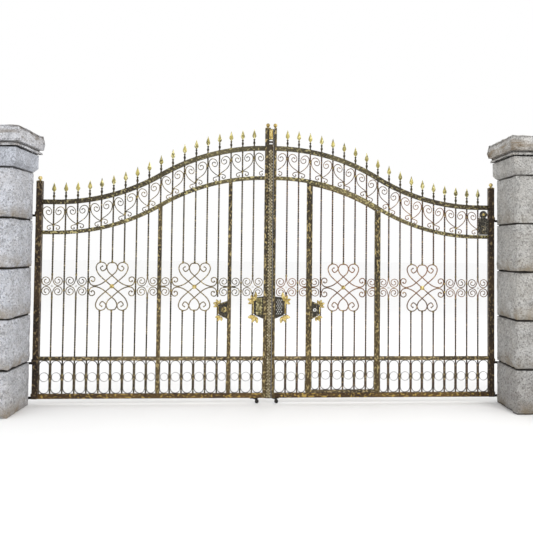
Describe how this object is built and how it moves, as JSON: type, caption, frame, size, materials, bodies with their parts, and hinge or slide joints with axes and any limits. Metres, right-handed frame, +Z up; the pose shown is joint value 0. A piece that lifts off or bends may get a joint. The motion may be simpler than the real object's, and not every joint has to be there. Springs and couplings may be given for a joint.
{
  "type": "wrought iron driveway gate",
  "caption": "Pair of wrought iron leaves with scrolls, spears and a wicket door, hinged between two granite pillars with cap stones",
  "frame": {"origin": "centre of the left pillar's base, seen from the street", "axes": "+X along the closed gate to the right pillar, +Y into the drive, the way the leaves open, +Z up"},
  "size_m": [6.334, 0.74, 3.038],
  "materials": {
    "granite": "rock-faced light grey granite with beige stains",
    "frame_iron": "dark bronze paint, brushed with gold, hammered",
    "bronze_iron": "copper bronze paint over forged bar",
    "gold_iron": "gold paint over cast iron",
    "pale_iron": "pale grey paint on flat bar",
    "lock_iron": "black case with a woven gold pattern",
    "strip_iron": "hammered bronze with a gold weave",
    "black_iron": "black paint",
    "caster_wheel": "black nylon wheel"
  },
  "bodies": {
    "pillars": {"left_pillar": "granite", "left_pillar_neck": "granite", "left_pillar_cap": "granite", "right_pillar": "granite", "right_pillar_neck": "granite", "right_pillar_cap": "granite", "left_hinge_hooks": "frame_iron", "right_hinge_hooks": "frame_iron"},
    "left_leaf": {"left_hinge_stile": "frame_iron", "left_meeting_stile": "frame_iron", "left_door_stiles": "frame_iron", "left_top_rail": "frame_iron", "left_curved_rail": "frame_iron", "left_middle_rail": "frame_iron", "left_bottom_rail": "frame_iron", "left_pickets": "bronze_iron", "left_spears": "gold_iron", "left_heart_scrolls": "bronze_iron", "left_scroll_band": "bronze_iron", "left_loops_and_rings": "pale_iron", "left_ball_caps": "gold_iron", "left_hinge_knuckles": "frame_iron", "left_lock": "lock_iron", "left_blind_lock": "lock_iron", "cover_strip": "strip_iron", "left_caster_plate": "black_iron"},
    "left_caster_swivel": {"left_caster_fork": "black_iron"},
    "left_caster_roller": {"left_caster_wheel": "caster_wheel"},
    "right_leaf": {"right_hinge_stile": "frame_iron", "right_meeting_stile": "frame_iron", "right_door_jambs": "frame_iron", "right_top_rail": "frame_iron", "right_curved_rail": "frame_iron", "right_middle_rail": "frame_iron", "right_bottom_rail": "frame_iron", "right_pickets": "bronze_iron", "right_spears": "gold_iron", "right_heart_scrolls": "bronze_iron", "right_scroll_band": "bronze_iron", "right_loops_and_rings": "pale_iron", "right_ball_caps": "gold_iron", "right_hinge_knuckles": "frame_iron", "right_lock": "lock_iron", "right_bracket": "black_iron", "wicket_hinge_pins": "frame_iron", "right_caster_plate": "black_iron"},
    "right_caster_swivel": {"right_caster_fork": "black_iron"},
    "right_caster_roller": {"right_caster_wheel": "caster_wheel"},
    "wicket": {"wicket_stiles": "frame_iron", "wicket_rails": "frame_iron", "wicket_pickets": "bronze_iron", "wicket_scroll_band": "bronze_iron", "wicket_loops_and_rings": "pale_iron", "wicket_lock": "lock_iron", "wicket_hinge_eyes": "frame_iron"}
  },
  "joints": [
    {"name": "left_leaf_hinge", "type": "hinge", "parent": "pillars", "child": "left_leaf", "pos_m": [0.296, 0.33, 0.44], "axis": [0, 0, 1], "range_deg": [0, 90]},
    {"name": "right_leaf_hinge", "type": "hinge", "parent": "pillars", "child": "right_leaf", "pos_m": [5.298, 0.33, 0.44], "axis": [0, 0, -1], "range_deg": [0, 90]},
    {"name": "wicket_hinge", "type": "hinge", "parent": "right_leaf", "child": "wicket", "pos_m": [3.979, 0.332, 1.3], "axis": [0, 0, -1], "range_deg": [0, 90]},
    {"name": "left_caster_swivel_joint", "type": "hinge", "parent": "left_leaf", "child": "left_caster_swivel", "pos_m": [2.647, 0.3, 0.05], "axis": [0, 0, 1], "continuous": true},
    {"name": "left_caster_roll_joint", "type": "hinge", "parent": "left_caster_swivel", "child": "left_caster_roller", "pos_m": [2.675, 0.3, 0.021], "axis": [0, 1, 0], "continuous": true},
    {"name": "right_caster_swivel_joint", "type": "hinge", "parent": "right_leaf", "child": "right_caster_swivel", "pos_m": [2.857, 0.3, 0.05], "axis": [0, 0, 1], "continuous": true},
    {"name": "right_caster_roll_joint", "type": "hinge", "parent": "right_caster_swivel", "child": "right_caster_roller", "pos_m": [2.885, 0.3, 0.021], "axis": [0, 1, 0], "continuous": true}
  ]
}
